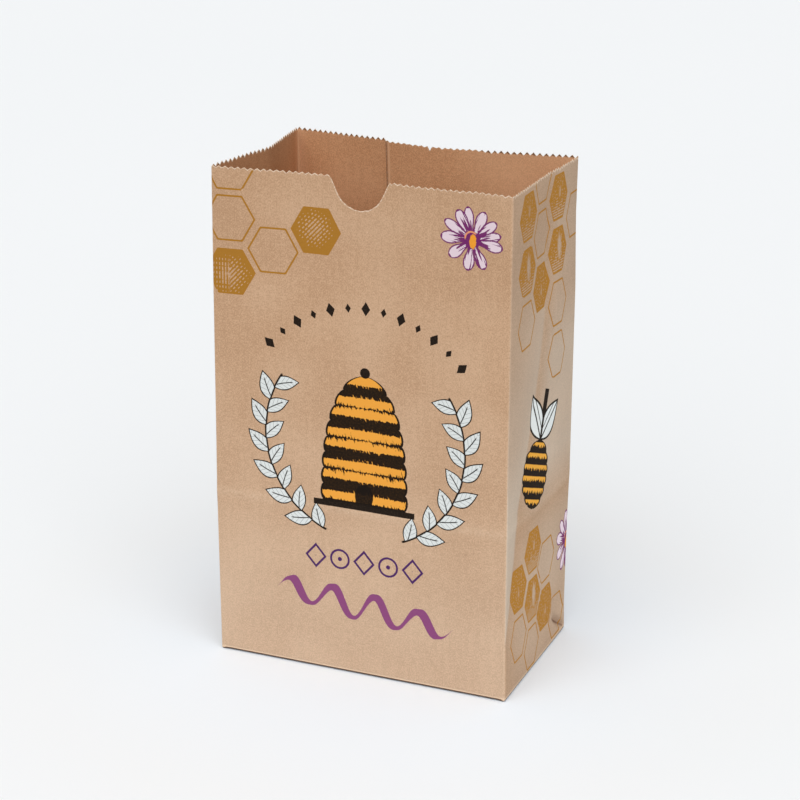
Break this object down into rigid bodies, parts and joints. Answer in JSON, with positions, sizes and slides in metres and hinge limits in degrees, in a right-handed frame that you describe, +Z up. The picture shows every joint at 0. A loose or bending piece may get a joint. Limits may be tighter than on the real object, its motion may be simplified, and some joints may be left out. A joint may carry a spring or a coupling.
{
  "type": "kraft paper bag",
  "caption": "Open self-standing kraft paper bag with folded side gussets, a flat folded base, a pinked rim and a thumb notch in the front panel.",
  "frame": {"origin": "middle of the base, on the surface the bag stands on", "axes": "+Z up out of the open mouth, -Y out of the front panel with the thumb notch, +X to the right seen from the front"},
  "size_m": [0.1556, 0.0932, 0.251],
  "materials": {
    "kraft_paper": "uncoated brown kraft paper, matt, with printed decoration in ochre, amber, black, pale grey and purple"
  },
  "bodies": {
    "root": {"bag": "kraft_paper"}
  },
  "joints": []
}
